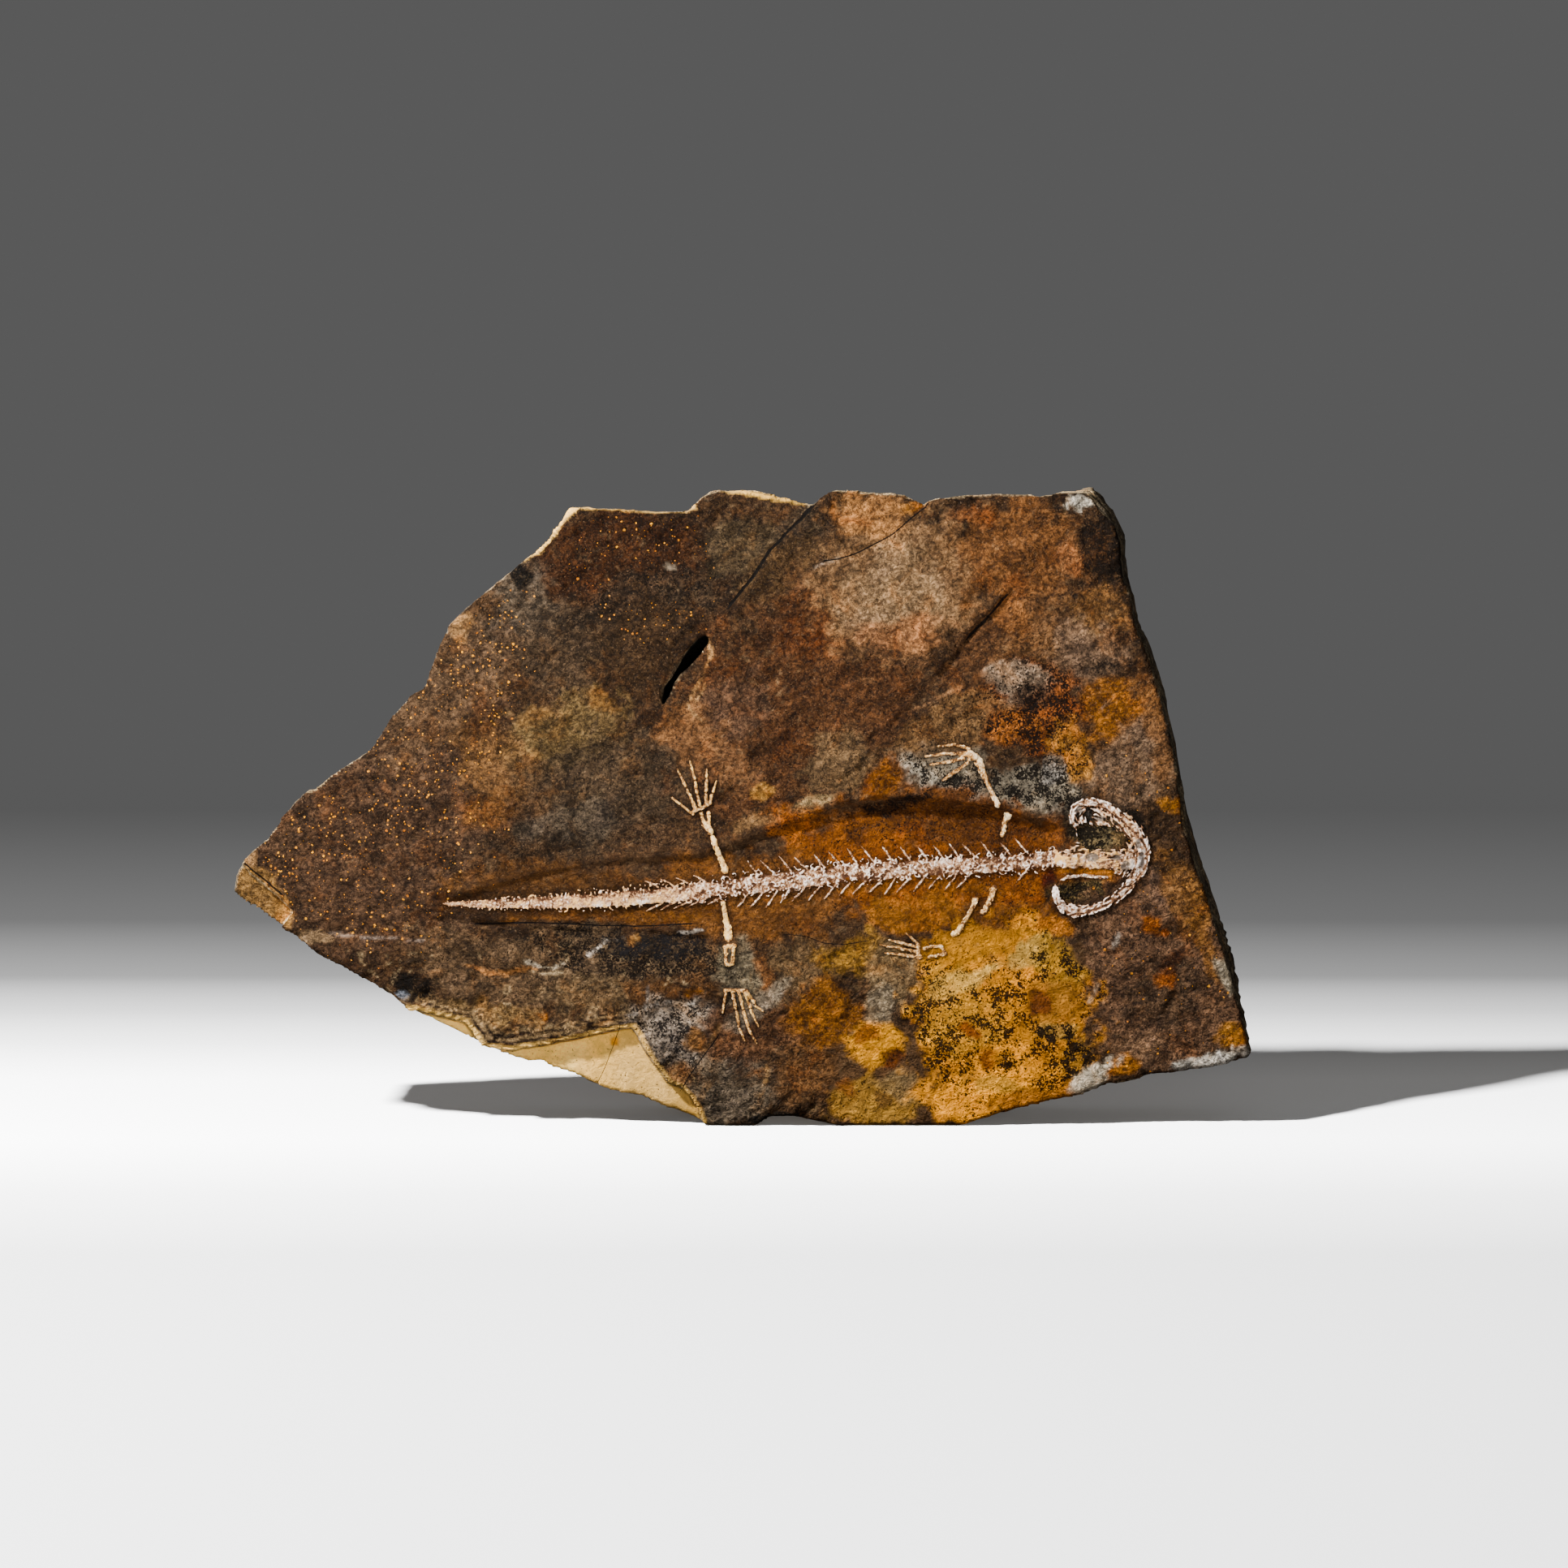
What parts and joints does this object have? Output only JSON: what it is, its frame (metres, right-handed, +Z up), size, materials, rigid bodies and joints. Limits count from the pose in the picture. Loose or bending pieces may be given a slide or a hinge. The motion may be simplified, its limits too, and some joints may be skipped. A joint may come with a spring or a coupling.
{
  "type": "fossil amphibian slab",
  "caption": "Natural slab of stained brown shale standing on its lower edge, with a small amphibian skeleton lying in a shallow hollow across its front.",
  "frame": {"origin": "centre of the box round the object, at the level of the two feet on its lower edge", "axes": "+X along the slab towards the skull's end, +Y from the front with the bones to the back, +Z up"},
  "size_m": [0.254, 0.0284, 0.1583],
  "materials": {
    "shale": "matte",
    "white_bone": "matte",
    "cream_bone": "matte"
  },
  "bodies": {
    "root": {"matrix_slab": "shale", "skull": "white_bone", "vertebral_column": "white_bone", "shoulder_bone_upper": "cream_bone", "humerus_upper": "cream_bone", "hand_upper": "cream_bone", "shoulder_bone_lower": "cream_bone", "humerus_lower": "cream_bone", "forearm_lower": "cream_bone", "hand_lower": "cream_bone", "femur_upper": "cream_bone", "shin_upper": "cream_bone", "foot_upper": "cream_bone", "femur_lower": "cream_bone", "shin_lower": "cream_bone", "foot_lower": "cream_bone"}
  },
  "joints": []
}
